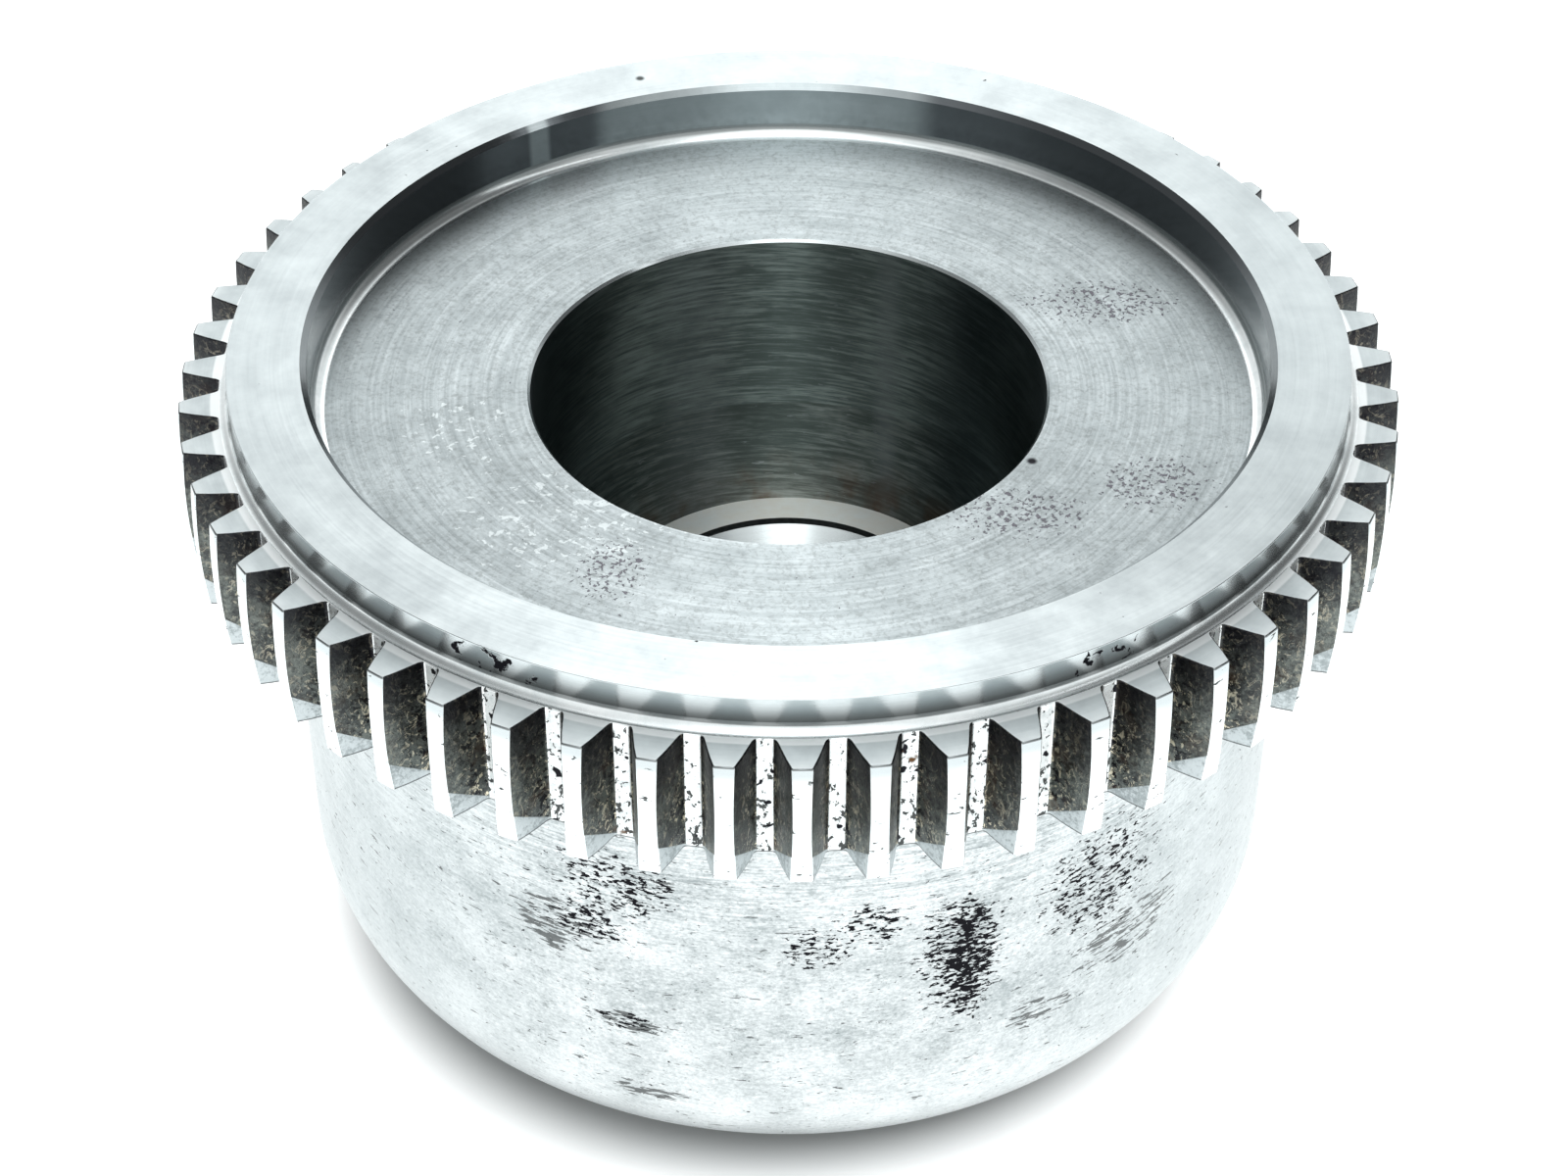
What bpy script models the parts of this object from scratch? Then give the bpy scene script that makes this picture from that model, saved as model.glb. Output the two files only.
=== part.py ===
"""Gear-coupling hub: one turned steel piece with a rim of crowned external teeth.

The hub stands on its outer end with its axis on +Z. The gear rim and the short nose above it
are at the top. Lengths are in metres, and the origin is the centre of the outer end.
"""
import math

import bmesh
import bpy
from mathutils import Matrix

NAME = "crowned_gear_hub"

# Tooth data: a standard involute rim, 8 teeth to the inch of pitch diameter.
TEETH = 56
MODULE = 0.0254 / 8
PRESSURE_ANGLE = math.radians(20)
TIP_LAND = 0.00315
ROOT_FILLET = 0.0007

# Outside, measured down from the nose face.
LENGTH = 0.1058
NOSE_RADIUS = 0.0840
NOSE_HEIGHT = 0.0055
NOSE_FILLET = 0.0015
FACE_WIDTH = 0.0204
BARREL_RADIUS = 0.07785
BARREL_FILLET = 0.0015
END_ROUND = 0.0227
NOSE_EDGE = 0.0002

# Recess in the nose face.
RECESS_RADIUS = 0.0722
RECESS_DEPTH = 0.0093
RECESS_CHAMFER = 0.0009
RECESS_FILLET = 0.0020

# Stepped bore: the wide upper bore, its cone, the shoulder, and the shaft bore below.
UPPER_BORE_RADIUS = 0.0393
CONE_TOP_DEPTH = 0.0415
CONE_END_RADIUS = 0.0312
SHOULDER_DEPTH = 0.0555
SHOULDER_INNER_RADIUS = 0.0257
LIP_HEIGHT = 0.00125
SHAFT_BORE_RADIUS = 0.0210
BORE_CHAMFER = 0.0015

# Facets: two for each tooth, so every tip land is one flat facet.
STEPS = 2 * TEETH
END_ROUND_SEGMENTS = 6
CROWN_SEGMENTS = 4
FLANK_POINTS = 4

PITCH_RADIUS = MODULE * TEETH / 2
BASE_RADIUS = PITCH_RADIUS * math.cos(PRESSURE_ANGLE)
TIP_RADIUS = PITCH_RADIUS + MODULE
ROOT_RADIUS = TIP_RADIUS - 2 * MODULE
RIM_TOP = LENGTH - NOSE_HEIGHT
RIM_BOTTOM = RIM_TOP - FACE_WIDTH
RIM_MIDDLE = (RIM_TOP + RIM_BOTTOM) / 2
CUTTER_OVERHANG = 0.002


def clear_scene():
    """Remove every object that the file already holds."""
    for obj in list(bpy.data.objects):
        bpy.data.objects.remove(obj, do_unlink=True)


def make_collection(name):
    """Return a new collection, linked to the scene."""
    collection = bpy.data.collections.new(name)
    bpy.context.scene.collection.children.link(collection)
    return collection


def steel_material():
    """Bright, satin-turned steel."""
    material = bpy.data.materials.new("machined_steel")
    material.use_nodes = True
    shader = material.node_tree.nodes["Principled BSDF"]
    shader.inputs["Base Color"].default_value = (0.62, 0.65, 0.66, 1.0)
    shader.inputs["Metallic"].default_value = 1.0
    shader.inputs["Roughness"].default_value = 0.34
    return material


def arc(centre, radius, start, end, segments):
    """Points of an arc in the profile plane, with its angles in degrees."""
    points = []
    for index in range(segments + 1):
        angle = math.radians(start + (end - start) * index / segments)
        points.append((centre[0] + radius * math.cos(angle), centre[1] + radius * math.sin(angle)))
    return points


def crown_points():
    """The tips lie on a sphere centred on the axis, in the middle of the rim."""
    flat = TIP_RADIUS / math.cos(math.pi / STEPS)
    points = []
    for index in range(CROWN_SEGMENTS + 1):
        height = RIM_TOP - FACE_WIDTH * index / CROWN_SEGMENTS
        points.append((math.sqrt(flat ** 2 - (height - RIM_MIDDLE) ** 2), height))
    return points


def outer_profile():
    """The outside of the hub, from the nose face down to the outer end."""
    fillet_top = RIM_TOP + NOSE_FILLET
    step_corner = RIM_BOTTOM - BARREL_FILLET
    points = [(NOSE_RADIUS - NOSE_EDGE, LENGTH), (NOSE_RADIUS, LENGTH - NOSE_EDGE)]
    points += arc((NOSE_RADIUS + NOSE_FILLET, fillet_top), NOSE_FILLET, 180, 270, 2)
    points += crown_points()
    points += arc((BARREL_RADIUS + BARREL_FILLET, step_corner), BARREL_FILLET, 90, 180, 2)
    points += arc((BARREL_RADIUS - END_ROUND, END_ROUND), END_ROUND, 0, -90, END_ROUND_SEGMENTS)
    return points


def bore_profile():
    """The stepped bore, from the outer end up to the floor of the nose recess."""
    floor = LENGTH - RECESS_DEPTH
    shoulder = LENGTH - SHOULDER_DEPTH
    lip_bottom = shoulder - LIP_HEIGHT
    mouth = SHOULDER_INNER_RADIUS - SHAFT_BORE_RADIUS
    return [
        (SHAFT_BORE_RADIUS + BORE_CHAMFER, 0.0),
        (SHAFT_BORE_RADIUS, BORE_CHAMFER),
        (SHAFT_BORE_RADIUS, lip_bottom - mouth),
        (SHOULDER_INNER_RADIUS, lip_bottom),
        (SHOULDER_INNER_RADIUS, shoulder),
        (CONE_END_RADIUS, shoulder),
        (UPPER_BORE_RADIUS, LENGTH - CONE_TOP_DEPTH),
        (UPPER_BORE_RADIUS, floor),
    ]


def recess_profile():
    """The nose recess, from its floor up to the nose face."""
    floor = LENGTH - RECESS_DEPTH
    centre = (RECESS_RADIUS - RECESS_FILLET, floor + RECESS_FILLET)
    points = arc(centre, RECESS_FILLET, -90, 0, 2)
    points.append((RECESS_RADIUS, LENGTH - RECESS_CHAMFER))
    points.append((RECESS_RADIUS + RECESS_CHAMFER, LENGTH))
    return points


def turned_blank(collection):
    """Turn the closed profile about the axis into the hub without its tooth gaps."""
    profile = outer_profile() + bore_profile() + recess_profile()
    vertices = [(radius, 0.0, height) for radius, height in profile]
    count = len(vertices)
    edges = [(index, (index + 1) % count) for index in range(count)]
    mesh = bpy.data.meshes.new(NAME)
    mesh.from_pydata(vertices, edges, [])
    # Half a facet of turn puts the middle of a facet, and so a tooth, on each axis.
    mesh.transform(Matrix.Rotation(math.pi / STEPS, 4, "Z"))
    blank = bpy.data.objects.new(NAME, mesh)
    collection.objects.link(blank)
    screw = blank.modifiers.new("turning", "SCREW")
    screw.axis = "Z"
    screw.angle = 2 * math.pi
    screw.steps = STEPS
    screw.render_steps = STEPS
    screw.use_merge_vertices = True
    screw.merge_threshold = 0.00001
    screw.use_smooth_shade = True
    return blank


def involute(radius):
    """The involute function of the pressure angle at a radius."""
    angle = math.acos(BASE_RADIUS / radius)
    return math.tan(angle) - angle


def gap_half_angle(radius):
    """Half of the gap's angle at a radius, which grows outwards along the two involutes."""
    tip_radius = math.sqrt(TIP_RADIUS ** 2 - (FACE_WIDTH / 2) ** 2)
    tooth = TIP_LAND / 2 / tip_radius + involute(tip_radius) - involute(radius)
    return math.pi / TEETH - tooth


def gap_side():
    """One side of a gap, from its root to beyond the tips, as (radius, angle) pairs."""
    root_angle = gap_half_angle(ROOT_RADIUS)
    fillet_angle = ROOT_FILLET / ROOT_RADIUS
    side = [(ROOT_RADIUS, root_angle - fillet_angle)]
    side.append((ROOT_RADIUS + 0.3 * ROOT_FILLET, root_angle - 0.3 * fillet_angle))
    first = ROOT_RADIUS + ROOT_FILLET
    last = TIP_RADIUS + CUTTER_OVERHANG
    for index in range(FLANK_POINTS):
        radius = first + (last - first) * index / (FLANK_POINTS - 1)
        side.append((radius, gap_half_angle(radius)))
    return side


def gap_outline(centre_angle):
    """The closed outline of one tooth gap in plan, as 2D points."""
    side = gap_side()
    polar = [(radius, -angle) for radius, angle in reversed(side)] + side
    points = []
    for radius, angle in polar:
        turn = centre_angle + angle
        points.append((radius * math.cos(turn), radius * math.sin(turn)))
    return points


def gap_cutters(collection):
    """All the tooth gaps, as one mesh of upright prisms around the rim."""
    curve = bpy.data.curves.new("tooth_gap_outlines", "CURVE")
    curve.dimensions = "2D"
    curve.fill_mode = "BOTH"
    curve.extrude = FACE_WIDTH / 2 + CUTTER_OVERHANG
    for index in range(TEETH):
        points = gap_outline(2 * math.pi * (index + 0.5) / TEETH)
        spline = curve.splines.new("POLY")
        spline.points.add(len(points) - 1)
        for point, (x, y) in zip(spline.points, points):
            point.co = (x, y, 0.0, 1.0)
        spline.use_cyclic_u = True
    outlines = bpy.data.objects.new("tooth_gap_outlines", curve)
    outlines.location.z = RIM_MIDDLE
    collection.objects.link(outlines)
    mesh = evaluated_mesh(outlines)
    cutters = bpy.data.objects.new("tooth_gap_cutters", mesh)
    cutters.matrix_world = outlines.matrix_world
    bpy.data.objects.remove(outlines)
    collection.objects.link(cutters)
    weld(mesh)
    cutters.hide_render = True
    cutters.display_type = "WIRE"
    return cutters


def weld(mesh):
    """Join the caps of the prisms to their sides, with every face pointing out."""
    work = bmesh.new()
    work.from_mesh(mesh)
    bmesh.ops.remove_doubles(work, verts=work.verts, dist=0.00001)
    bmesh.ops.recalc_face_normals(work, faces=work.faces)
    work.to_mesh(mesh)
    work.free()


def evaluated_mesh(obj):
    """A new mesh that holds the object as its modifiers make it."""
    bpy.context.view_layer.update()
    graph = bpy.context.evaluated_depsgraph_get()
    return bpy.data.meshes.new_from_object(obj.evaluated_get(graph), depsgraph=graph)


def cut_teeth(blank, cutters):
    """Cut the gaps out of the blank, and shade the turned surfaces smooth."""
    gaps = blank.modifiers.new("tooth_gaps", "BOOLEAN")
    gaps.operation = "DIFFERENCE"
    gaps.solver = "EXACT"
    gaps.object = cutters
    mesh = evaluated_mesh(blank)
    blank.modifiers.clear()
    blank.data = mesh
    mesh.shade_smooth()
    mesh.set_sharp_from_angle(angle=math.radians(25))


def main():
    clear_scene()
    parts = make_collection("gear_coupling_hub")
    tools = make_collection("cutters")
    hub = turned_blank(parts)
    cut_teeth(hub, gap_cutters(tools))
    hub.data.materials.clear()
    hub.data.materials.append(steel_material())


main()
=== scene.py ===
import math

import bpy
import numpy as np
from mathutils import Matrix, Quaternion, Vector


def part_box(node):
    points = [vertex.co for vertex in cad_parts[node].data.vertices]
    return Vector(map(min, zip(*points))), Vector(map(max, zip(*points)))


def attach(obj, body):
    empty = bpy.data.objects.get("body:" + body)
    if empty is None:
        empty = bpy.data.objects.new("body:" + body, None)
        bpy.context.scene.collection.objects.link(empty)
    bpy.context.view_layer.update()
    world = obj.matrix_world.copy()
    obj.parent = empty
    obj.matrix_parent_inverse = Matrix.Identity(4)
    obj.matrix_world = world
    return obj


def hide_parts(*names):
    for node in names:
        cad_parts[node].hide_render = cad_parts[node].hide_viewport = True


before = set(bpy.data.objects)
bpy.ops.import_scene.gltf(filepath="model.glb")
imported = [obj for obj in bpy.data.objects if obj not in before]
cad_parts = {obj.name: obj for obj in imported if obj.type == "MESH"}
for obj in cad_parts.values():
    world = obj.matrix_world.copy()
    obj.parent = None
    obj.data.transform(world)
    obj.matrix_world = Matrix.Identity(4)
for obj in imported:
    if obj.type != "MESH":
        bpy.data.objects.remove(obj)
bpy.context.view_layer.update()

# ---------------------------------------------------------------- sizes, in metres
MM = 0.001
NODE = "crowned_gear_hub"
LOW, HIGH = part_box(NODE)

LENGTH = HIGH.z
TIP_RADIUS = HIGH.x

TEETH = 56
MODULE = 3.175 * MM
PRESSURE_ANGLE = math.radians(20)
PITCH_RADIUS = TEETH * MODULE / 2
BASE_RADIUS = PITCH_RADIUS * math.cos(PRESSURE_ANGLE)
ROOT_RADIUS = TIP_RADIUS - 2 * MODULE
ROOT_FILLET = 0.7 * MM
TIP_LAND = 3.15 * MM
TIP_CORNER = 0.15 * MM
TOOTH_EDGE = 0.2 * MM

FACE_WIDTH = 20.4 * MM
NOSE_HEIGHT = 5.5 * MM
RIM_TOP = LENGTH - NOSE_HEIGHT
RIM_BOTTOM = RIM_TOP - FACE_WIDTH
RIM_MIDDLE = (RIM_TOP + RIM_BOTTOM) / 2

WEAR_DEPTH = 0.08 * MM
WEAR_START_ROOT = RIM_BOTTOM + 0.6 * MM
WEAR_START_TIP = RIM_BOTTOM + 5.2 * MM
WEAR_STEP = 0.15 * MM
FLANK_CROWN = 0.06 * MM

NOSE_RADIUS = 84.0 * MM
NOSE_FILLET = 1.5 * MM
NOSE_EDGE = 0.15 * MM
BARREL_RADIUS = 77.85 * MM
BARREL_FILLET = 1.5 * MM
END_ROUND = 22.7 * MM

RECESS_RADIUS = 72.2 * MM
RECESS_FLOOR = LENGTH - 9.3 * MM
RECESS_CHAMFER = 0.9 * MM
RECESS_FILLET = 2.0 * MM
BORE_EDGE = 0.4 * MM
UPPER_BORE = 39.3 * MM
CONE_TOP = LENGTH - 41.5 * MM
CONE_END = 31.2 * MM
SHOULDER = LENGTH - 55.5 * MM
SHOULDER_INNER = 25.7 * MM
LIP_HEIGHT = 1.25 * MM
SHAFT_BORE = 21.0 * MM
BORE_CHAMFER = 1.5 * MM

# ---------------------------------------------------------------- tooth outline
TIP_PARTS = 1
FLANK_PARTS = 3
FILLET_PARTS = 3


def involute(radius):
    cosine = BASE_RADIUS / radius
    return math.sqrt(1 - cosine * cosine) / cosine - math.acos(cosine)


TIP_END_RADIUS = math.sqrt(TIP_RADIUS**2 - (FACE_WIDTH / 2) ** 2)
TIP_HALF_ANGLE = TIP_LAND / 2 / TIP_END_RADIUS


def gap_half_angle(radius):
    return (
        math.pi / TEETH
        - TIP_HALF_ANGLE
        - involute(TIP_END_RADIUS)
        + involute(radius)
    )


def fillet_centre():
    low = ROOT_RADIUS * math.sin(gap_half_angle(ROOT_RADIUS))
    up = ROOT_RADIUS + ROOT_FILLET
    high = up * math.sin(gap_half_angle(up))
    slope = math.atan2(high - low, ROOT_FILLET)
    across = low + ROOT_FILLET * (math.tan(slope) - 1 / math.cos(slope))
    return across, slope


FILLET_ACROSS, FLANK_SLOPE = fillet_centre()
FLANK_START = ROOT_RADIUS + ROOT_FILLET * (1 - math.sin(FLANK_SLOPE))


def tip_radius(z):
    return math.sqrt(TIP_RADIUS**2 - (z - RIM_MIDDLE) ** 2)


def half_outline(z_root, z_tip, inset, wear):
    """From a tooth's centre line to the middle of the next gap: (angle, radius, z) rows."""
    crown = FLANK_CROWN * ((z_tip - RIM_MIDDLE) / (FACE_WIDTH / 2)) ** 2
    top = tip_radius(z_tip) - inset
    rows = []

    def height(radius):
        return z_root + (z_tip - z_root) * (radius - ROOT_RADIUS) / (TIP_RADIUS - ROOT_RADIUS)

    def on_flank(radius, cut):
        return math.pi / TEETH - gap_half_angle(radius) - cut / radius

    edge = on_flank(top, inset + wear + crown) - TIP_CORNER / top
    for i in range(TIP_PARTS + 1):
        rows.append((edge * i / TIP_PARTS, top, z_tip))
    for i in range(FLANK_PARTS + 1):
        share = i / FLANK_PARTS
        radius = (top - TIP_CORNER) * (1 - share) + FLANK_START * share
        cut = inset + (wear + crown) * (1 if i < FLANK_PARTS else 0.3)
        rows.append((on_flank(radius, cut / math.cos(FLANK_SLOPE)), radius, height(radius)))
    for i in range(1, FILLET_PARTS + 1):
        turn = FLANK_SLOPE + (math.pi / 2 - FLANK_SLOPE) * i / FILLET_PARTS
        across = FILLET_ACROSS + (ROOT_FILLET + inset) * math.cos(turn)
        radius = ROOT_RADIUS + ROOT_FILLET - (ROOT_FILLET + inset) * math.sin(turn)
        rows.append((math.pi / TEETH - across / radius, radius, height(radius)))
    rows.append((math.pi / TEETH, ROOT_RADIUS - inset, z_root))
    return rows


HALF_COLUMNS = TIP_PARTS + 1 + FLANK_PARTS + FILLET_PARTS + 1
COLUMNS = 2 * HALF_COLUMNS * TEETH


def around(half):
    """Mirrors half a pitch and repeats it round the hub: rows of angle, radius and z."""
    half = np.array(half)
    pitch = 2 * math.pi / TEETH
    back = half[-2:0:-1].copy()
    back[:, 0] = pitch - back[:, 0]
    whole = np.vstack([half, back])
    turn = np.array([pitch, 0, 0])
    return np.concatenate([whole + turn * k for k in range(TEETH)])


# ---------------------------------------------------------------- profile rings
SLOTS = [
    "nose_face",
    "nose_wall",
    "nose_fillet",
    "recess_wall",
    "recess_fillet",
    "recess_floor",
    "bore_edge",
    "bore",
    "cone",
    "shoulder",
    "lip",
    "mouth",
    "rim_face",
    "tip_land",
    "flank",
    "root",
    "barrel",
]
TEETH_SIDE = "teeth"
rings = []
sharp_rings = []


def plain_ring(radius, z, strip, sharp=False):
    """A round ring; strip names the surface between it and the next ring."""
    if sharp:
        sharp_rings.append(len(rings))
    rows = base_rows.copy()
    rows[:, 1] = radius
    rows[:, 2] = z
    rings.append((rows, strip))


def tooth_ring(z_root, z_tip, inset, wear, strip):
    rings.append((around(half_outline(z_root, z_tip, inset, wear)), strip))


def arc_rings(centre_radius, centre_z, size, start, end, parts, strip, last=True):
    for i in range(parts + (1 if last else 0)):
        turn = math.radians(start + (end - start) * i / parts)
        plain_ring(
            centre_radius + size * math.cos(turn),
            centre_z + size * math.sin(turn),
            strip,
        )


base_rows = around(half_outline(RIM_MIDDLE, RIM_MIDDLE, 0, 0))

plain_ring(SHAFT_BORE + BORE_CHAMFER, 0, "barrel", sharp=True)
arc_rings(BARREL_RADIUS - END_ROUND, END_ROUND, END_ROUND, -90, 0, 16, "barrel")
BARREL_STEPS = 5
BARREL_TOP = RIM_BOTTOM - BARREL_FILLET
for i in range(BARREL_STEPS):
    share = i / BARREL_STEPS
    z = END_ROUND + 0.5 * MM + (BARREL_TOP - END_ROUND - 0.5 * MM) * share
    plain_ring(BARREL_RADIUS, z, "barrel")
arc_rings(
    BARREL_RADIUS + BARREL_FILLET, BARREL_TOP, BARREL_FILLET, 180, 90, 5, "barrel"
)
plain_ring(ROOT_RADIUS - 2.5 * TOOTH_EDGE, RIM_BOTTOM, "rim_face")

MID_EDGE = 1 - math.sqrt(0.5)
SIDE_LOW = RIM_BOTTOM + TOOTH_EDGE
SIDE_HIGH = RIM_TOP - TOOTH_EDGE
tooth_ring(RIM_BOTTOM, RIM_BOTTOM, TOOTH_EDGE, 0, TEETH_SIDE)
z = RIM_BOTTOM + MID_EDGE * TOOTH_EDGE
tooth_ring(z, z, MID_EDGE * TOOTH_EDGE, 0, TEETH_SIDE)
LOW_STEPS = 4
for i in range(LOW_STEPS):
    root = SIDE_LOW + (WEAR_START_ROOT - WEAR_STEP - SIDE_LOW) * i / (LOW_STEPS - 1)
    tip = SIDE_LOW + (WEAR_START_TIP - WEAR_STEP - SIDE_LOW) * i / (LOW_STEPS - 1)
    tooth_ring(root, tip, 0, 0, TEETH_SIDE)
SIDE_STEPS = 11
for i in range(SIDE_STEPS + 1):
    root = WEAR_START_ROOT + (SIDE_HIGH - WEAR_START_ROOT) * i / SIDE_STEPS
    tip = WEAR_START_TIP + (SIDE_HIGH - WEAR_START_TIP) * i / SIDE_STEPS
    tooth_ring(root, tip, 0, WEAR_DEPTH, TEETH_SIDE)
z = RIM_TOP - MID_EDGE * TOOTH_EDGE
tooth_ring(z, z, MID_EDGE * TOOTH_EDGE, WEAR_DEPTH, TEETH_SIDE)
tooth_ring(RIM_TOP, RIM_TOP, TOOTH_EDGE, WEAR_DEPTH, "rim_face")

arc_rings(
    NOSE_RADIUS + NOSE_FILLET, RIM_TOP + NOSE_FILLET, NOSE_FILLET, 270, 180, 6, "nose_fillet"
)
rings[-1] = (rings[-1][0], "nose_wall")
arc_rings(NOSE_RADIUS - NOSE_EDGE, LENGTH - NOSE_EDGE, NOSE_EDGE, 0, 90, 3, "nose_wall", False)
plain_ring(NOSE_RADIUS - NOSE_EDGE, LENGTH, "nose_face")
plain_ring(RECESS_RADIUS + RECESS_CHAMFER, LENGTH, "recess_wall", sharp=True)
plain_ring(RECESS_RADIUS, LENGTH - RECESS_CHAMFER, "recess_wall", sharp=True)
arc_rings(
    RECESS_RADIUS - RECESS_FILLET,
    RECESS_FLOOR + RECESS_FILLET,
    RECESS_FILLET,
    0,
    -90,
    8,
    "recess_fillet",
    False,
)
plain_ring(RECESS_RADIUS - RECESS_FILLET, RECESS_FLOOR, "recess_floor")
plain_ring((RECESS_RADIUS + UPPER_BORE) / 2, RECESS_FLOOR, "recess_floor")
plain_ring(UPPER_BORE + BORE_EDGE, RECESS_FLOOR, "bore_edge", sharp=True)
plain_ring(UPPER_BORE, RECESS_FLOOR - BORE_EDGE, "bore", sharp=True)
plain_ring(UPPER_BORE, CONE_TOP, "cone")
plain_ring(CONE_END, SHOULDER, "shoulder", sharp=True)
plain_ring(SHOULDER_INNER, SHOULDER, "lip", sharp=True)
plain_ring(SHOULDER_INNER, SHOULDER - LIP_HEIGHT, "mouth", sharp=True)
MOUTH_END = SHOULDER - LIP_HEIGHT - SHOULDER_INNER + SHAFT_BORE
plain_ring(SHAFT_BORE, MOUTH_END, "bore", sharp=True)
plain_ring(SHAFT_BORE, BORE_CHAMFER, "barrel", sharp=True)


def tooth_slots():
    """The surface of each column of a tooth-side strip."""
    half = (
        ["tip_land"] * (TIP_PARTS + 1)
        + ["flank"] * (FLANK_PARTS + FILLET_PARTS - 1)
        + ["root"] * 2
    )
    return (half + half[::-1]) * TEETH


def build_hub():
    count = len(rings)
    angle, radius, height = np.concatenate([rows for rows, _ in rings]).T
    places = np.column_stack([radius * np.cos(angle), radius * np.sin(angle), height])
    column = np.arange(COLUMNS)
    following = (column + 1) % COLUMNS
    quads = []
    kinds = []
    side = np.array([SLOTS.index(s) for s in tooth_slots()])
    for i in range(count):
        here = i * COLUMNS
        up = ((i + 1) % count) * COLUMNS
        quads.append(
            np.column_stack([here + column, here + following, up + following, up + column])
        )
        strip = rings[i][1]
        kinds.append(side if strip == TEETH_SIDE else np.full(COLUMNS, SLOTS.index(strip)))
    mesh = bpy.data.meshes.new("machined_hub")
    mesh.from_pydata(places.tolist(), [], np.concatenate(quads).tolist())
    mesh.polygons.foreach_set("material_index", np.concatenate(kinds).astype(np.int32))
    mesh.polygons.foreach_set("use_smooth", np.ones(len(mesh.polygons), bool))
    mesh.update()
    ends = np.zeros(2 * len(mesh.edges), np.int32)
    mesh.edges.foreach_get("vertices", ends)
    first, second = (ends // COLUMNS).reshape(-1, 2).T
    sharp = (first == second) & np.isin(first, sharp_rings)
    mesh.edges.foreach_set("use_edge_sharp", sharp)
    hub = bpy.data.objects.new("machined_hub", mesh)
    bpy.context.scene.collection.objects.link(hub)
    weighted = hub.modifiers.new("flat faces stay flat", "WEIGHTED_NORMAL")
    weighted.mode = "FACE_AREA"
    weighted.weight = 60
    weighted.keep_sharp = True
    return hub


# ---------------------------------------------------------------- material nodes
class Nodes:
    """Short ways to add and link the nodes of one node tree."""

    def __init__(self, tree):
        self.tree = tree

    def add(self, kind, inputs, **settings):
        made = self.tree.nodes.new(kind)
        for name, value in settings.items():
            setattr(made, name, value)
        for key, value in inputs.items():
            if isinstance(value, bpy.types.NodeSocket):
                self.tree.links.new(value, made.inputs[key])
            else:
                made.inputs[key].default_value = value
        return made

    def maths(self, operation, a, b=0.0, c=0.0, clamp=False):
        made = self.add("ShaderNodeMath", {0: a, 1: b, 2: c}, operation=operation, use_clamp=clamp)
        return made.outputs[0]

    def rise(self, value, start, end, low=0.0, high=1.0):
        """low below start, high above end, smooth between them."""
        made = self.add(
            "ShaderNodeMapRange",
            {"Value": value, 1: start, 2: end, 3: low, 4: high},
            interpolation_type="SMOOTHSTEP",
        )
        return made.outputs[0]

    def scaled(self, value, start, end, low, high):
        made = self.add("ShaderNodeMapRange", {"Value": value, 1: start, 2: end, 3: low, 4: high})
        return made.outputs[0]

    def along(self, where, direction):
        """How far a place lies along a direction."""
        made = self.add("ShaderNodeVectorMath", {0: where, 1: direction}, operation="DOT_PRODUCT")
        return made.outputs["Value"]


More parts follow.
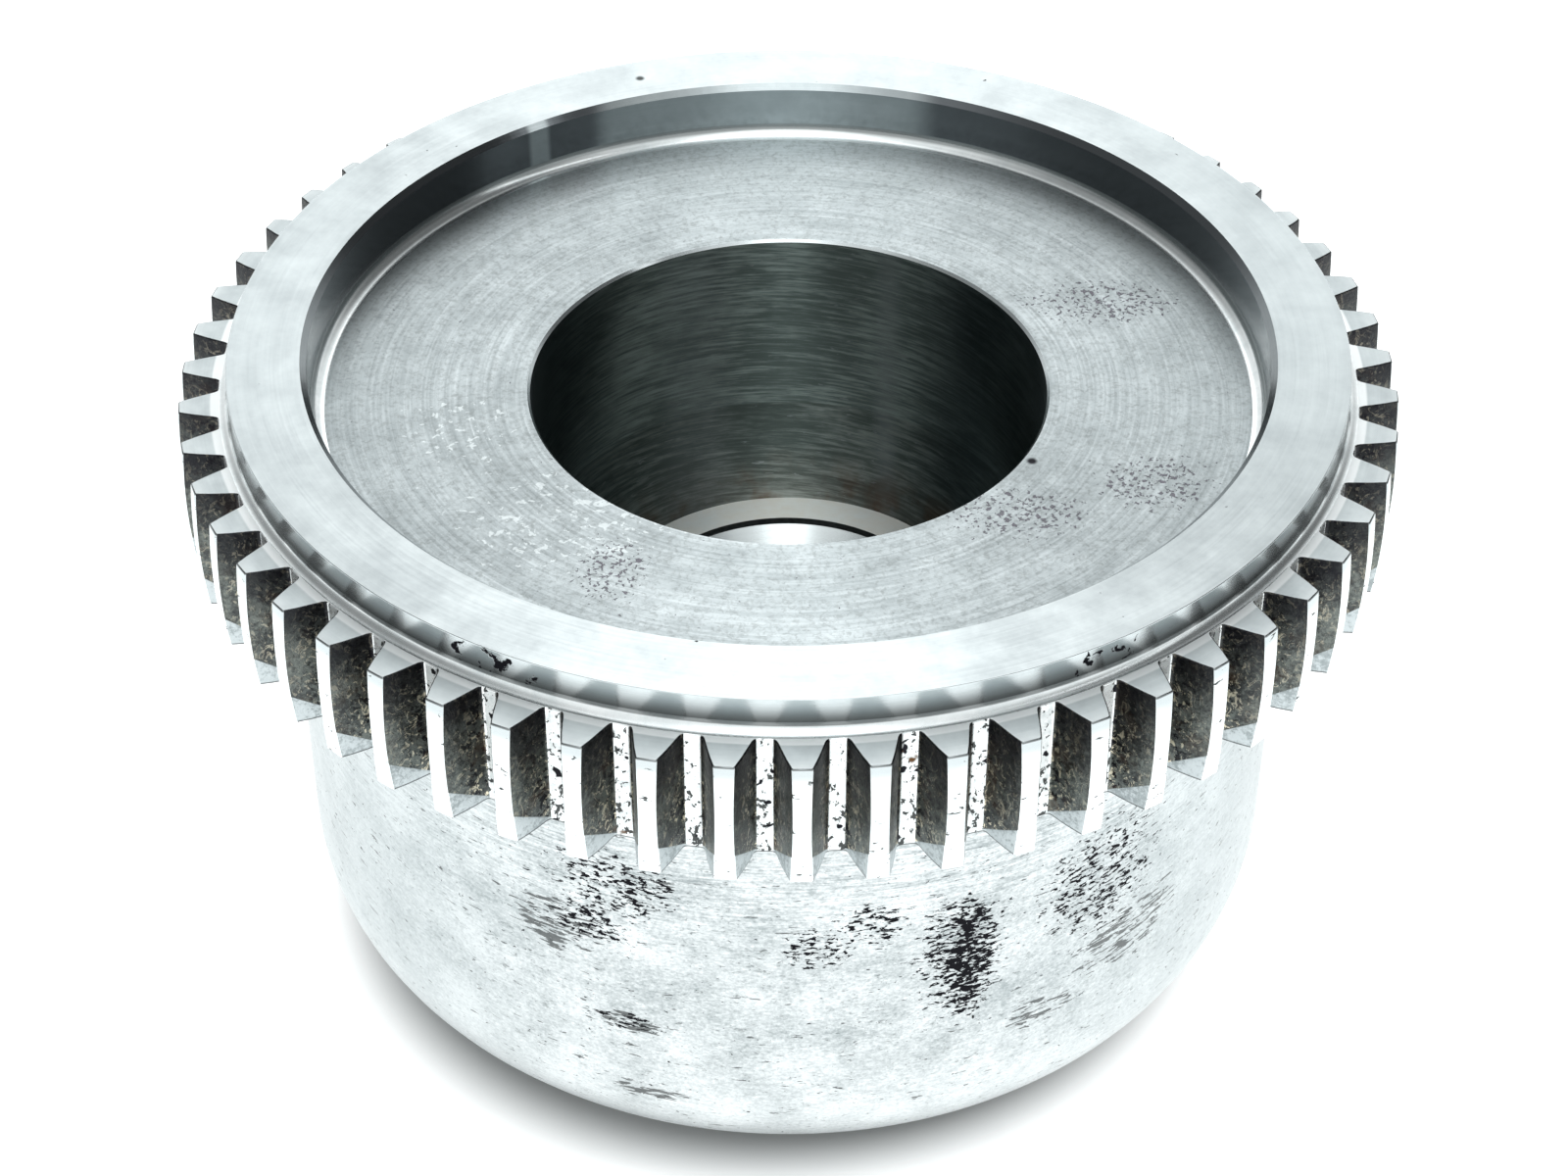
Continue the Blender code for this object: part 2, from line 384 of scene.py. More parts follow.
class Surface(Nodes):
    """A material in object coordinates, and the patterns that the materials share."""

    def __init__(self, name):
        self.material = bpy.data.materials.new(name)
        self.material.use_nodes = True
        super().__init__(self.material.node_tree)
        self.tree.nodes.clear()
        output = self.tree.nodes.new("ShaderNodeOutputMaterial")
        self.shader = self.tree.nodes.new("ShaderNodeBsdfPrincipled")
        self.tree.links.new(self.shader.outputs[0], output.inputs[0])
        self.where = self.add("ShaderNodeTexCoord", {}).outputs["Object"]
        self.x, self.y, self.z = self.add("ShaderNodeSeparateXYZ", {0: self.where}).outputs
        length = self.add("ShaderNodeVectorMath", {0: self.stretched(1, 1, 0)}, operation="LENGTH")
        self.radius = length.outputs["Value"]

    def stretched(self, x, y, z):
        """Object coordinates in metres times a scale on each axis."""
        made = self.add(
            "ShaderNodeVectorMath", {0: self.where, 1: (x, y, z)}, operation="MULTIPLY"
        )
        return made.outputs[0]

    def ring_lines(self, along, per_metre, drift):
        """Coordinates that run fast along one value and slowly round the hub."""
        slow = self.stretched(drift, drift, 0)
        fast = self.maths("MULTIPLY", along, per_metre)
        line = self.add("ShaderNodeCombineXYZ", {2: fast})
        made = self.add(
            "ShaderNodeVectorMath", {0: slow, 1: line.outputs[0]}, operation="ADD"
        )
        return made.outputs[0]

    def noise(self, where, scale, detail=2.0, rough=0.5, distortion=0.0):
        made = self.add(
            "ShaderNodeTexNoise",
            {
                "Vector": where,
                "Scale": scale,
                "Detail": detail,
                "Roughness": rough,
                "Distortion": distortion,
            },
        )
        return made.outputs[0]

    def blend(self, share, a, b):
        made = self.add(
            "ShaderNodeMix", {0: share, 6: a, 7: b}, data_type="RGBA", clamp_factor=True
        )
        return made.outputs[2]

    def sideways(self, x=0.0):
        """Distance from the plane at this x."""
        return self.maths("ABSOLUTE", self.maths("SUBTRACT", self.x, x))

    def any_of(self, *values):
        result = values[0]
        for value in values[1:]:
            result = self.maths("MAXIMUM", result, value)
        return result

    def patch(self, centre, size):
        """1 round a point on the hub, falling to 0 at the edge of an ellipsoid; in metres."""
        shifted = self.add(
            "ShaderNodeVectorMath", {0: self.where, 1: centre}, operation="SUBTRACT"
        )
        unit = self.add(
            "ShaderNodeVectorMath",
            {0: shifted.outputs[0], 1: tuple(1 / s for s in size)},
            operation="MULTIPLY",
        )
        far = self.add("ShaderNodeVectorMath", {0: unit.outputs[0]}, operation="LENGTH")
        return self.rise(far.outputs["Value"], 0.35, 1.0, 1.0, 0.0)

    def patches(self, places):
        """1 inside any of several patches, each a centre and a size."""
        return self.any_of(*(self.patch(centre, size) for centre, size in places))

    def bump(self, height, depth, before=None):
        """Raises the surface by depth metres where height is 1."""
        inputs = {"Strength": 1.0, "Distance": depth, "Height": height}
        if before is not None:
            inputs["Normal"] = before
        return self.add("ShaderNodeBump", inputs).outputs[0]

    def turned(self, amount):
        """Stretches the highlights across the tool lines that run round the hub."""
        tangent = self.add("ShaderNodeTangent", {}, direction_type="RADIAL", axis="Z")
        self.tree.links.new(tangent.outputs[0], self.shader.inputs["Tangent"])
        self.shader.inputs["Anisotropic"].default_value = amount
        self.shader.inputs["Anisotropic Rotation"].default_value = 0.25

    def finish(self, colour, roughness, normal=None, metallic=1.0):
        for name, value in (
            ("Base Color", colour),
            ("Roughness", roughness),
            ("Metallic", metallic),
            ("Normal", normal),
        ):
            if isinstance(value, bpy.types.NodeSocket):
                self.tree.links.new(value, self.shader.inputs[name])
            elif value is not None:
                self.shader.inputs[name].default_value = value
        return self.material


WHITE = (0.88, 0.915, 0.92, 1)
BARREL_LIGHT = (0.78, 0.815, 0.825, 1)
BRIGHT = (0.66, 0.715, 0.725, 1)
STEEL = (0.53, 0.58, 0.595, 1)
SATIN = (0.42, 0.465, 0.475, 1)
DULL = (0.33, 0.37, 0.38, 1)
GREY = (0.22, 0.24, 0.24, 1)
DARK = (0.07, 0.075, 0.075, 1)
BLACK = (0.014, 0.014, 0.018, 1)
# Painted shade on the left and right sides of the bore.
BORE_SIDE_SHADE = (0.02, 0.035, 0.045, 1)
RUST = (0.12, 0.062, 0.028, 1)
GOLD = (0.80, 0.74, 0.58, 1)
MOSS = (0.19, 0.21, 0.195, 1)
PURPLE = (0.10, 0.085, 0.11, 1)
PALE_BUFF = (0.82, 0.79, 0.73, 1)
BORE_GREEN = (0.17, 0.21, 0.20, 1)
BORE_LINE = (0.43, 0.51, 0.49, 1)
CONE_GREEN = (0.13, 0.16, 0.15, 1)
CONE_LINE = (0.34, 0.39, 0.37, 1)
WALL_SHADE = (0.10, 0.11, 0.12, 1)

# Groups of marks: the centre and the size of each, in metres.
NOSE_DOT = ((-0.0235, 0.0749, LENGTH), (0.0010, 0.0010, 0.01))
NOSE_WALL_PITS = (
    ((-0.042, -0.0727, 0.1030), (0.016, 0.014, 0.0045)),
    ((0.043, -0.0721, 0.1030), (0.014, 0.014, 0.0045)),
)
FLOOR_DOT = ((0.0355, -0.0205, RECESS_FLOOR), (0.0011, 0.0011, 0.01))
FLOOR_CHIPS = (
    ((-0.033, -0.033, RECESS_FLOOR), (0.026, 0.020, 0.01)),
    ((-0.049, -0.012, RECESS_FLOOR), (0.013, 0.014, 0.01)),
)
FLOOR_PITS = (
    ((0.050, 0.021, RECESS_FLOOR), (0.018, 0.009, 0.01)),
    ((0.053, -0.026, RECESS_FLOOR), (0.013, 0.010, 0.01)),
    ((0.033, -0.033, RECESS_FLOOR), (0.016, 0.009, 0.01)),
    ((-0.026, -0.045, RECESS_FLOOR), (0.008, 0.011, 0.01)),
)
BARREL_PITS = (
    ((0.0234, -0.0743, 0.048), (0.011, 0.011, 0.019)),
    ((0.003, -0.0778, 0.053), (0.008, 0.008, 0.006)),
    ((0.0108, -0.0771, 0.0573), (0.008, 0.008, 0.006)),
    ((0.0444, -0.0639, 0.0535), (0.016, 0.015, 0.016)),
    ((-0.026, -0.0733, 0.0620), (0.014, 0.012, 0.010)),
    ((-0.030, -0.0719, 0.0530), (0.010, 0.009, 0.006)),
    ((-0.025, -0.0737, 0.0345), (0.008, 0.008, 0.003)),
)
BARREL_PIT_CORE = ((0.0250, -0.0737, 0.0465), (0.005, 0.006, 0.017))
BARREL_STREAKS = (
    ((0.0499, -0.0598, 0.0385), (0.014, 0.014, 0.009)),
    ((-0.035, -0.0695, 0.0512), (0.012, 0.012, 0.008)),
    ((-0.025, -0.0737, 0.0345), (0.010, 0.010, 0.003)),
    ((-0.0218, -0.0747, 0.0208), (0.010, 0.010, 0.003)),
    ((0.0365, -0.0688, 0.0314), (0.008, 0.008, 0.004)),
)

# Where painted reflections of the room lie on the hub: its dark sides as painted shade, bright
# streaks and bands as painted highlights; also the slant of the bore's tool lines.
WALL_LEFT = (-32 * MM, -28 * MM)
WALL_RIGHT = (21 * MM, 27 * MM)
GLEAM_SIDE = (0.833, 0.553, 0)
GLEAM_WIDTH = (1.2 * MM, 2.4 * MM)
BORE_LINE_TILT = 0.05
BORE_PALE_BAND = 17 * MM
BORE_WIDE_BAND = -15 * MM
BORE_MIDDLE = -3 * MM
SIDE_START = 30 * MM


def turned_steel(t, along, per_metre, light, dark, low, high, lines=0.25, cloud=0.45):
    """Colour, roughness and line height of steel with tool lines along one value."""
    fine = t.noise(t.ring_lines(along, per_metre, 30), 1.0, 3.0, 0.7)
    mottle = t.noise(t.where, 130, 4.0, 0.65)
    grain = t.noise(t.where, 900, 2.0, 0.6)
    share = t.maths("MULTIPLY_ADD", t.maths("SUBTRACT", fine, 0.5), lines * 2, 0.5)
    share = t.maths("MULTIPLY_ADD", t.maths("SUBTRACT", mottle, 0.5), cloud * 4, share)
    share = t.maths("MULTIPLY_ADD", t.maths("SUBTRACT", grain, 0.5), cloud, share, clamp=True)
    colour = t.blend(share, light, dark)
    roughness = t.scaled(t.maths("ADD", fine, mottle), 0.7, 1.3, low, high)
    return colour, roughness, fine


def specks(t, scale, threshold, mask=None, spread=0.04, stretch=1.0):
    """Small sharp marks, 0 or 1, thick where mask is 1 and rare elsewhere."""
    found = t.noise(t.stretched(scale, scale, scale * stretch), 1.0, 3.0, 0.62, 0.4)
    if mask is not None:
        found = t.maths("MULTIPLY_ADD", mask, 0.16, found)
        threshold = threshold + 0.16
    return t.rise(found, threshold, threshold + spread)


def make_turned(name, along, per_metre, light, dark, low, high):
    t = Surface(name)
    value = t.radius if along == "radius" else t.z
    colour, rough, fine = turned_steel(t, value, per_metre, light, dark, low, high)
    t.turned(0.6)
    return t.finish(colour, rough, t.bump(fine, 0.01 * MM))


def make_nose_face():
    t = Surface("ground_nose_face")
    colour, rough, fine = turned_steel(t, t.radius, 2600, BRIGHT, STEEL, 0.30, 0.40, 0.25, 0.55)
    # Painted shade: the face is darkened towards its left and right sides, where it would mirror
    # the dark panels of the room.
    colour = t.blend(t.rise(t.x, SIDE_START, NOSE_RADIUS, 0.0, 0.45), colour, SATIN)
    colour = t.blend(t.rise(t.x, -NOSE_RADIUS, -SIDE_START, 0.25, 0.0), colour, SATIN)
    marks = specks(t, 420, 0.74)
    colour = t.blend(t.any_of(marks, t.patch(*NOSE_DOT)), colour, DARK)
    t.turned(0.85)
    return t.finish(colour, rough, t.bump(marks, -0.08 * MM, t.bump(fine, 0.01 * MM)))


def make_nose_wall():
    t = Surface("polished_nose_wall")
    colour, rough, fine = turned_steel(t, t.z, 5200, BRIGHT, STEEL, 0.18, 0.26, 0.3, 0.4)
    # Painted shade: the wall is darkened towards its foot by the fillet.
    foot = RIM_TOP + NOSE_FILLET
    colour = t.blend(t.rise(t.z, foot - 0.1 * MM, foot + 4.0 * MM, 0.97, 0.0), colour, DARK)
    marks = specks(t, 450, 0.57, t.patches(NOSE_WALL_PITS))
    colour = t.blend(marks, colour, BLACK)
    rough = t.maths("MAXIMUM", rough, t.maths("MULTIPLY", marks, 0.8))
    t.turned(0.3)
    return t.finish(colour, rough, t.bump(marks, -0.1 * MM, t.bump(fine, 0.006 * MM)))


def make_nose_fillet():
    t = Surface("nose_fillet")
    # Painted highlight: the fillet is painted white as a bright ring; its upper part is painted
    # dark like the foot of the wall, leaving the highlight as a thin line.
    colour, rough, fine = turned_steel(t, t.z, 4200, WHITE, BRIGHT, 0.2, 0.3)
    start = RIM_TOP + 0.55 * NOSE_FILLET
    colour = t.blend(t.rise(t.z, start, start + 0.2 * MM, 0.0, 0.8), colour, DARK)
    t.turned(0.4)
    return t.finish(colour, rough, t.bump(fine, 0.01 * MM))


def make_recess_floor():
    t = Surface("turned_recess_floor")
    colour, rough, fine = turned_steel(t, t.radius, 2000, STEEL, DULL, 0.28, 0.38, 0.9, 0.3)
    # Painted shade: the floor is darkened towards its left and right sides, where it would mirror
    # the dark panels of the room.
    sides = t.rise(t.sideways(), SIDE_START, RECESS_RADIUS, 0.0, 0.4)
    colour = t.blend(sides, colour, DULL)
    felt = t.noise(t.where, 1300, 3.0, 0.7, 0.5)
    colour = t.blend(t.rise(felt, 0.42, 0.72, 0.0, 0.6), colour, GREY)
    chips = specks(t, 560, 0.575, t.patches(FLOOR_CHIPS))
    colour = t.blend(t.maths("MULTIPLY", chips, 0.8), colour, BRIGHT)
    marks = specks(t, 1150, 0.55, t.patches(FLOOR_PITS))
    colour = t.blend(t.maths("MULTIPLY", marks, 0.8), colour, PURPLE)
    colour = t.blend(t.patch(*FLOOR_DOT), colour, BLACK)
    t.turned(0.88)
    normal = t.bump(felt, 0.015 * MM, t.bump(fine, 0.015 * MM))
    return t.finish(colour, rough, t.bump(marks, -0.05 * MM, normal))


def make_recess_fillet():
    t = Surface("recess_fillet")
    # Painted highlight: the fillet is painted white as a bright ring; its upper part by the wall
    # is painted grey, leaving the highlight as a thin line.
    colour, rough, fine = turned_steel(t, t.z, 4200, WHITE, BRIGHT, 0.15, 0.25)
    upper = t.rise(t.z, RECESS_FLOOR + 0.6 * MM, RECESS_FLOOR + 1.1 * MM, 0.0, 0.85)
    colour = t.blend(upper, colour, GREY)
    t.turned(0.6)
    return t.finish(colour, rough, t.bump(fine, 0.01 * MM))


def make_recess_wall():
    """Painted reflection: the wall is darkened as painted shade where it would mirror the dark
    sides of the room, more so towards the back, except in a narrow streak left light as a painted
    highlight.
    """
    t = Surface("polished_recess_wall")
    colour, rough, fine = turned_steel(t, t.z, 5200, SATIN, DULL, 0.10, 0.18, 0.3, 0.35)
    left = t.rise(t.x, *WALL_LEFT, 1.0, 0.0)
    right = t.rise(t.x, *WALL_RIGHT)
    gleam = t.rise(t.maths("ABSOLUTE", t.along(t.where, GLEAM_SIDE)), *GLEAM_WIDTH)
    behind = t.rise(t.y, -10 * MM, 30 * MM, 0.4, 0.85)
    # Painted shade where the wall would mirror the dark room, left out in the narrow painted
    # highlight streak.
    painted_reflection_shade = t.maths("MULTIPLY", t.maths("MULTIPLY", t.any_of(left, right), gleam), behind)
    colour = t.blend(painted_reflection_shade, colour, WALL_SHADE)
    t.turned(0.4)
    return t.finish(colour, rough, t.bump(fine, 0.005 * MM))


def make_bore(name, dark, light, rusty):
    t = Surface(name)
    tilted = t.maths("MULTIPLY_ADD", t.x, BORE_LINE_TILT, t.z)
    lines = t.noise(t.ring_lines(tilted, 2000, 110), 1.0, 4.0, 0.75)
    broad = t.noise(t.where, 60, 3.0, 0.6)
    share = t.maths("MULTIPLY_ADD", lines, 0.8, t.maths("MULTIPLY", broad, 0.4))
    share = t.rise(share, 0.48, 0.78)
    colour = t.blend(share, dark, light)
    scratches = specks(t, 330, 0.655, stretch=5.0)
    colour = t.blend(t.maths("MULTIPLY", scratches, 0.5), colour, SATIN)
    # Painted reflections: two upright bands are painted paler as highlights, and the left and
    # right sides are painted blue-black as shade.
    pale = t.rise(t.sideways(BORE_PALE_BAND), 0, 3 * MM, 0.4, 0.0)
    wide = t.rise(t.sideways(BORE_WIDE_BAND), 2 * MM, 8 * MM, 0.25, 0.0)
    colour = t.blend(t.any_of(pale, wide), colour, DULL)
    side = t.rise(t.sideways(BORE_MIDDLE), 20 * MM, 34 * MM, 0.0, 0.75)
    colour = t.blend(side, colour, BORE_SIDE_SHADE)
    near = t.rise(t.z, SHOULDER, SHOULDER + 9 * MM, 1.0, 0.0)
    stain = t.rise(t.noise(t.where, 160, 3.0, 0.6), 0.45, 0.7, 0.2, rusty)
    colour = t.blend(t.maths("MULTIPLY", stain, near), colour, RUST)
    t.turned(0.75)
    return t.finish(colour, t.scaled(lines, 0.3, 0.7, 0.30, 0.42), t.bump(lines, 0.02 * MM))


def make_rim_face():
    t = Surface("tooth_end_face")
    colour, rough, fine = turned_steel(t, t.radius, 2400, BRIGHT, STEEL, 0.5, 0.6, 0.2, 0.5)
    # Painted highlight: the band by the roots is painted white in place of the dark reflection of
    # the nose wall; the face also turns lighter towards the tips.
    inner = t.rise(t.radius, ROOT_RADIUS + 0.9 * MM, ROOT_RADIUS + 1.3 * MM, 1.0, 0.0)
    colour = t.blend(inner, colour, WHITE)
    outer = t.rise(t.radius, ROOT_RADIUS + 3 * MM, TIP_END_RADIUS, 0.0, 0.3)
    colour = t.blend(outer, colour, WHITE)
    t.turned(0.3)
    return t.finish(colour, rough, t.bump(fine, 0.01 * MM))


def make_tip_land():
    t = Surface("tooth_tip_land")
    cloud = t.noise(t.where, 160, 3.0, 0.6)
    colour = t.blend(t.rise(cloud, 0.5, 0.8), WHITE, BRIGHT)
    colour = t.blend(t.rise(t.z, RIM_TOP - 3.5 * MM, RIM_TOP - 1 * MM, 0.0, 0.9), colour, STEEL)
    colour = t.blend(specks(t, 450, 0.645, stretch=2.2), colour, DARK)
    edge = t.rise(t.z, RIM_TOP - 0.3 * MM, RIM_TOP - 0.2 * MM, 0.0, 0.7)
    colour = t.blend(edge, colour, DARK)
    return t.finish(colour, t.scaled(cloud, 0.3, 0.7, 0.16, 0.26))


def painted_lower_edge_shade(t):
    """Painted shade: strong along the bottom edge of the rim, 0 above it."""
    return t.rise(t.z, RIM_BOTTOM + 0.25 * MM, RIM_BOTTOM + 0.4 * MM, 0.85, 0.0)


def make_flank():
    t = Surface("worn_tooth_flank")
    grain = t.noise(t.where, 1300, 4.0, 0.8)
    blotch = t.noise(t.where, 170, 3.0, 0.6)
    share = t.maths("MULTIPLY_ADD", grain, 0.6, t.maths("MULTIPLY", blotch, 0.4))
    colour = t.blend(t.rise(share, 0.42, 0.60), DARK, MOSS)
    deep = t.rise(t.radius, ROOT_RADIUS + 1 * MM, TIP_RADIUS - 0.5 * MM, 1.0, 0.2)
    scraped = t.noise(t.stretched(700, 900, 550), 1.0, 4.0, 0.75, 1.6)
    glint = t.rise(scraped, 0.56, 0.585)
    colour = t.blend(t.maths("MULTIPLY", glint, deep), colour, GOLD)
    pitted = t.rise(t.noise(t.where, 900, 4.0, 0.7), 0.54, 0.57)
    colour = t.blend(t.maths("MULTIPLY", pitted, deep), colour, BLACK)
    rust = t.maths("MULTIPLY", t.rise(t.noise(t.where, 260, 3.0, 0.6), 0.50, 0.66), deep)
    colour = t.blend(t.maths("MULTIPLY", rust, 0.35), colour, RUST)
    top = t.rise(t.z, RIM_TOP - 10 * MM, RIM_TOP - 0.5 * MM, 0.0, 0.85)
    colour = t.blend(top, colour, BLACK)
    slope = (WEAR_START_TIP - WEAR_START_ROOT) / (TIP_RADIUS - ROOT_RADIUS)
    above = t.maths("MULTIPLY_ADD", t.maths("SUBTRACT", t.radius, ROOT_RADIUS), -slope, t.z)
    fresh = t.rise(above, WEAR_START_ROOT - WEAR_STEP, WEAR_START_ROOT, 1.0, 0.0)
    unworn = t.blend(t.rise(share, 0.46, 0.58), STEEL, DULL)
    colour = t.blend(fresh, colour, unworn)
    # Painted shade: a dark line along the bottom edge of the rim.
    colour = t.blend(painted_lower_edge_shade(t), colour, DARK)
    return t.finish(colour, t.scaled(grain, 0.3, 0.7, 0.3, 0.5), t.bump(scraped, 0.12 * MM))


def make_root():
    t = Surface("tooth_root")
    grain = t.noise(t.where, 700, 4.0, 0.7)
    lower = t.rise(t.z, RIM_BOTTOM + 3 * MM, RIM_TOP - 3 * MM, 1.0, 0.65)
    marks = specks(t, 1200, 0.55, lower, 0.03, 0.7)
    colour = t.blend(t.rise(grain, 0.45, 0.75), WHITE, BRIGHT)
    colour = t.blend(marks, colour, DARK)
    spots = t.rise(t.noise(t.where, 420, 2.0, 0.5), 0.635, 0.66)
    colour = t.blend(spots, colour, BLACK)
    rust = t.rise(t.noise(t.where, 240, 3.0, 0.6), 0.66, 0.74)
    colour = t.blend(rust, colour, RUST)
    # Painted shade: a dark line along the bottom edge of the rim.
    colour = t.blend(painted_lower_edge_shade(t), colour, DARK)
    return t.finish(colour, t.scaled(grain, 0.3, 0.7, 0.2, 0.4), t.bump(marks, -0.06 * MM))


def make_barrel():
    t = Surface("brushed_barrel")
    lines = t.noise(t.ring_lines(t.z, 2600, 90), 1.0, 4.0, 0.75)
    flecks = t.noise(t.stretched(420, 420, 1000), 1.0, 5.0, 0.8, 0.6)
    grain = t.noise(t.stretched(1500, 1500, 2200), 1.0, 3.0, 0.7)
    cloud = t.noise(t.where, 90, 3.0, 0.6)
    ruled = t.rise(t.z, 45 * MM, RIM_BOTTOM - 8 * MM, 0.5, 3.0)
    share = t.maths("MULTIPLY_ADD", t.maths("SUBTRACT", lines, 0.5), ruled, 0.42)
    share = t.maths("MULTIPLY_ADD", t.maths("SUBTRACT", flecks, 0.5), 1.2, share)
    share = t.maths("MULTIPLY_ADD", t.maths("SUBTRACT", grain, 0.5), 1.8, share)
    share = t.maths("MULTIPLY_ADD", t.maths("SUBTRACT", cloud, 0.5), 1.6, share, clamp=True)
    colour = t.blend(share, BARREL_LIGHT, DULL)
    wisps = t.rise(flecks, 0.61, 0.66, 0.0, 0.8)
    colour = t.blend(wisps, colour, GREY)
    # Painted shade: the barrel is darkened towards its left and right sides.
    sides = t.rise(t.sideways(), 22 * MM, BARREL_RADIUS, 0.0, 0.7)
    colour = t.blend(sides, colour, SATIN)
    # Painted reflection: the lower barrel is painted lighter towards the bottom, as it would
    # mirror the white floor.
    colour = t.blend(t.rise(t.z, 10 * MM, 36 * MM, 0.35, 0.0), colour, WHITE)
    # Painted contact shadow: the lowest few millimetres are painted grey.
    colour = t.blend(t.rise(t.z, 3 * MM, 6 * MM, 0.8, 0.0), colour, GREY)
    pitted = t.patches(BARREL_PITS)
    core = t.patch(*BARREL_PIT_CORE)
    pits = specks(t, 760, 0.53, t.maths("MULTIPLY_ADD", core, 0.6, pitted), 0.02, 2.3)
    streaks = specks(t, 300, 0.50, t.patches(BARREL_STREAKS), 0.02, 5.0)
    colour = t.blend(t.maths("MULTIPLY", streaks, 0.85), colour, DARK)
    colour = t.blend(pits, colour, BLACK)
    rough = t.scaled(t.maths("ADD", lines, flecks), 0.7, 1.3, 0.26, 0.38)
    rough = t.maths("MAXIMUM", rough, t.maths("MULTIPLY", pits, 0.7))
    t.turned(0.5)
    normal = t.bump(grain, 0.02 * MM, t.bump(lines, 0.012 * MM))
    return t.finish(colour, rough, t.bump(pits, -0.15 * MM, normal))


MAKERS = {
    "nose_face": make_nose_face,
    "nose_wall": make_nose_wall,
    "nose_fillet": make_nose_fillet,
    "recess_wall": make_recess_wall,
    "recess_fillet": make_recess_fillet,
    "recess_floor": make_recess_floor,
    "bore_edge": lambda: make_turned("bore_edge", "radius", 3000, BRIGHT, STEEL, 0.15, 0.25),
    "bore": lambda: make_bore("dark_bore", BORE_GREEN, BORE_LINE, 0.6),
    "cone": lambda: make_bore("dark_cone", CONE_GREEN, CONE_LINE, 0.7),
    "shoulder": lambda: make_turned("shoulder", "radius", 3000, WHITE, PALE_BUFF, 0.45, 0.55),
    "lip": lambda: make_turned("shoulder_lip", "z", 3000, GREY, DARK, 0.3, 0.4),
    "mouth": lambda: make_turned("shaft_mouth", "z", 3000, BRIGHT, BRIGHT, 0.2, 0.3),
    "rim_face": make_rim_face,
    "tip_land": make_tip_land,
    "flank": make_flank,
    "root": make_root,
    "barrel": make_barrel,
}

hub = build_hub()
for name in SLOTS:
    hub.data.materials.append(MAKERS[name]())
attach(hub, "root")
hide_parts(NODE)


# ---------------------------------------------------------------- floor, light and camera
FLOOR_SIZE = 8.0
FLOOR_GREY = (0.50, 0.51, 0.51, 1)
FLOOR_WHITE = (0.98, 1.0, 1.0, 1)
FLOOR_GLOW = 0.95
SHADOW_CENTRE = (-0.003, -0.003, 0)
SHADOW_START = BARREL_RADIUS - 15 * MM
SHADOW_END = BARREL_RADIUS + 1 * MM
PAPER_LIGHT = 0.8
PAPER_LIGHT_SPREAD = math.radians(50)
PAPER_LIGHT_FROM = (0.5, 0.6, 1.2)
WORLD_WHITE = (0.985, 1.0, 1.0, 1)
WORLD_LOW = 1.05
WORLD_TOP = 0.95
STRIP = 1.3
WINDOW = 1.5
WINDOW_SIDE = (0.29, 0.957, 0)
# Each panel: its direction, the angles where its shade is full and gone, and what light is left.
PANELS = (
    ((1.0, 0.17, 0.75), math.radians(20), math.radians(47), 0.15),
    ((-1.0, 0.2, 0.7), math.radians(16), math.radians(45), 0.3),
)

CAMERA_AZIMUTH = math.radians(-1.18)
CAMERA_ROLL = math.radians(0.17)
CAMERA_ELEVATION = math.radians(39.2)
CAMERA_DISTANCE = 523.0 * MM
CAMERA_LENS = 75.06
CAMERA_AIM = Vector((-0.6 * MM, 0, 56.1 * MM))


def make_floor():
    half = FLOOR_SIZE / 2
    mesh = bpy.data.meshes.new("floor")
    corners = [(-half, -half, 0), (half, -half, 0), (half, half, 0), (-half, half, 0)]
    mesh.from_pydata(corners, [], [(0, 1, 2, 3)])
    floor = bpy.data.objects.new("floor", mesh)
    floor.location.z = LOW.z
    bpy.context.scene.collection.objects.link(floor)
    t = Surface("white_paper")
    # Painted shadow: the floor glows by emission only away from the hub; where the glow is left
    # out round the hub, it paints the contact shadow.
    moved = t.add("ShaderNodeVectorMath", {0: t.where, 1: SHADOW_CENTRE}, operation="SUBTRACT")
    away = t.add("ShaderNodeVectorMath", {0: moved.outputs[0]}, operation="LENGTH")
    glow = t.rise(away.outputs["Value"], SHADOW_START, SHADOW_END, 0.0, FLOOR_GLOW)
    t.shader.inputs["Emission Color"].default_value = FLOOR_WHITE
    t.tree.links.new(glow, t.shader.inputs["Emission Strength"])
    mesh.materials.append(t.finish(FLOOR_GREY, 0.9, metallic=0.0))


def make_sun():
    """Light for the floor alone: it keeps the paper white and leaves the contact shadow."""
    data = bpy.data.lights.new("paper_light", "SUN")
    data.energy = PAPER_LIGHT
    data.angle = PAPER_LIGHT_SPREAD
    sun = bpy.data.objects.new("paper_light", data)
    sun.rotation_mode = "QUATERNION"
    sun.rotation_quaternion = Vector(PAPER_LIGHT_FROM).to_track_quat("Z", "Y")
    sun.visible_glossy = False
    bpy.context.scene.collection.objects.link(sun)


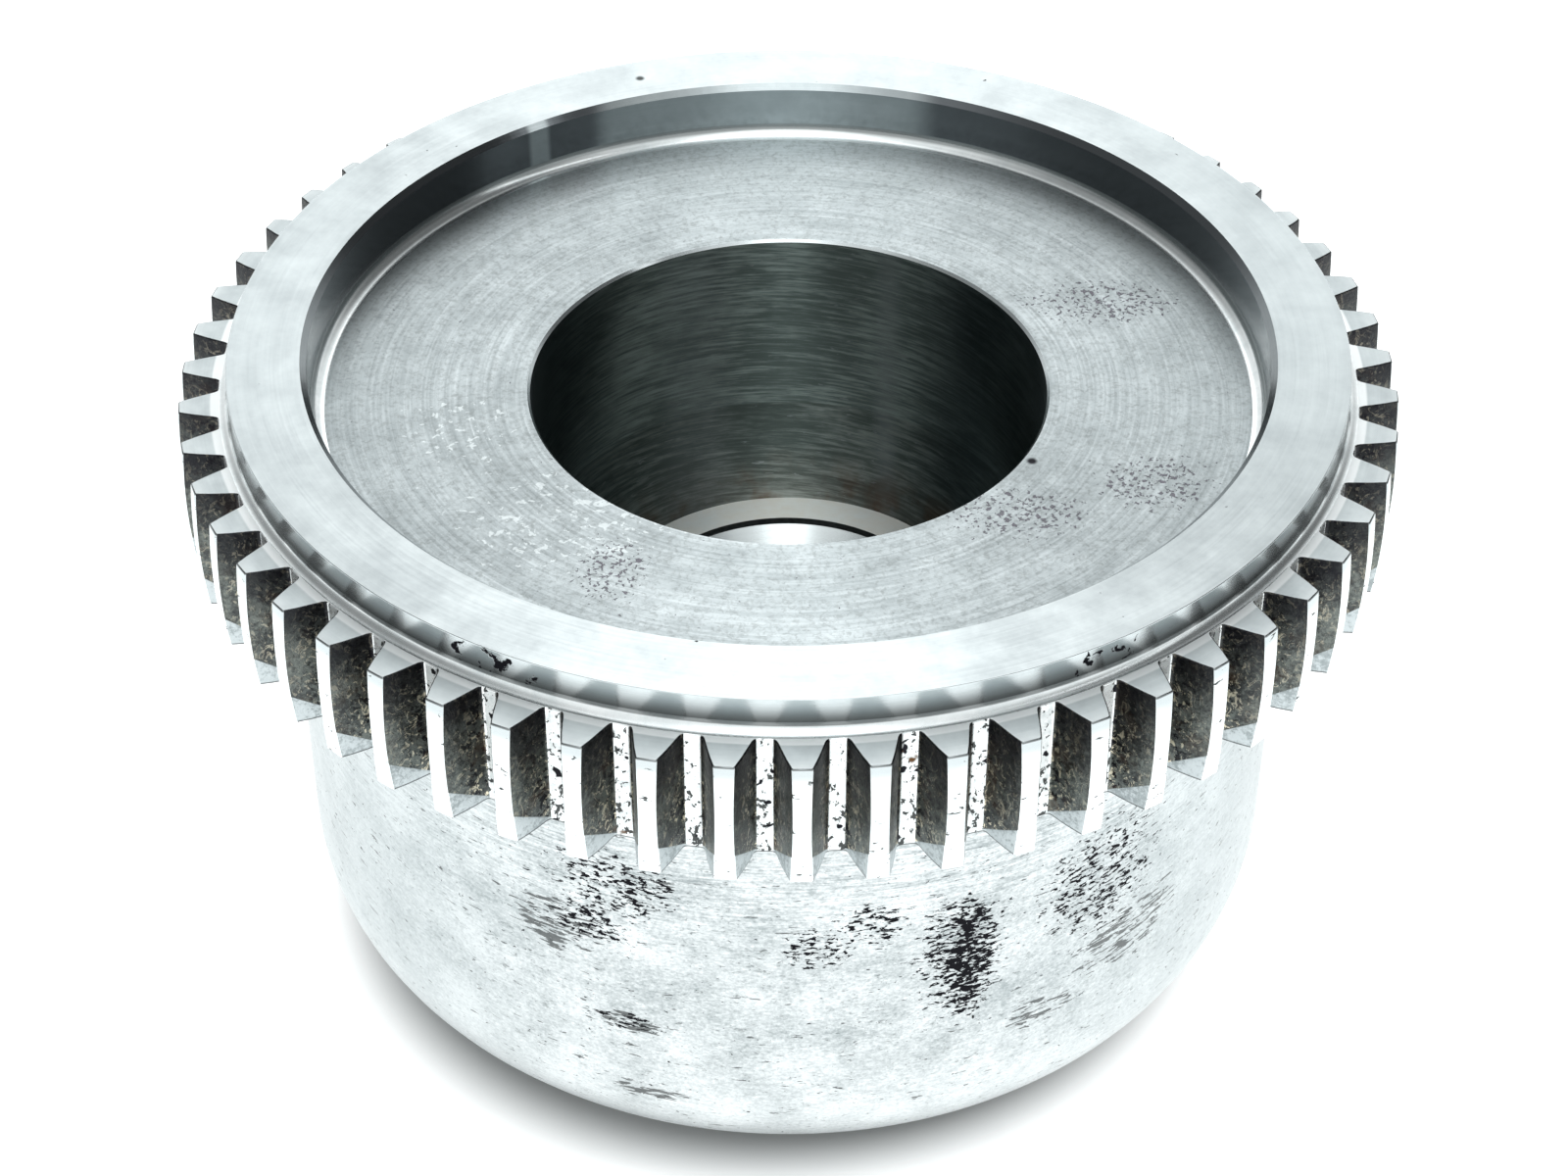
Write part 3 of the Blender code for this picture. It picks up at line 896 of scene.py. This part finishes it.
def make_world():
    """A white room: a strip overhead that runs away from the camera, grey panels, a window."""
    world = bpy.data.worlds.new("studio")
    bpy.context.scene.world = world
    world.use_nodes = True
    n = Nodes(world.node_tree)
    background = world.node_tree.nodes["Background"]
    background.inputs["Color"].default_value = WORLD_WHITE
    where = n.add("ShaderNodeTexCoord", {}).outputs["Generated"]
    x, y, z = n.add("ShaderNodeSeparateXYZ", {0: where}).outputs
    strength = n.rise(z, 0.0, 1.0, WORLD_LOW, WORLD_TOP)
    strip = n.rise(n.maths("ABSOLUTE", x), 0.05, 0.32, STRIP, 0.0)
    strip = n.maths("MULTIPLY", strip, n.rise(z, 0.3, 0.7))
    strength = n.maths("ADD", strength, strip)
    for direction, inner, outer, factor in PANELS:
        near = n.along(where, tuple(Vector(direction).normalized()))
        share = n.rise(near, math.cos(outer), math.cos(inner), 1.0, factor)
        strength = n.maths("MULTIPLY", strength, share)
    window = n.rise(n.maths("ABSOLUTE", n.along(where, WINDOW_SIDE)), 0.03, 0.08, WINDOW, 0.0)
    window = n.maths("MULTIPLY", window, n.rise(x, 0.3, 0.5))
    window = n.maths("MULTIPLY", window, n.rise(z, 0.15, 0.3))
    strength = n.maths("ADD", strength, window)
    n.tree.links.new(strength, background.inputs["Strength"])


def make_camera():
    data = bpy.data.cameras.new("camera")
    data.lens = CAMERA_LENS
    camera = bpy.data.objects.new("camera", data)
    away = Vector(
        (
            math.sin(CAMERA_AZIMUTH) * math.cos(CAMERA_ELEVATION),
            -math.cos(CAMERA_AZIMUTH) * math.cos(CAMERA_ELEVATION),
            math.sin(CAMERA_ELEVATION),
        )
    )
    camera.location = CAMERA_AIM + CAMERA_DISTANCE * away
    turn = (-away).to_track_quat("-Z", "Y") @ Quaternion((0, 0, 1), CAMERA_ROLL)
    camera.rotation_mode = "QUATERNION"
    camera.rotation_quaternion = turn
    bpy.context.scene.collection.objects.link(camera)
    bpy.context.scene.camera = camera


make_floor()
make_sun()
make_world()
make_camera()
bpy.context.scene.view_settings.view_transform = "Standard"
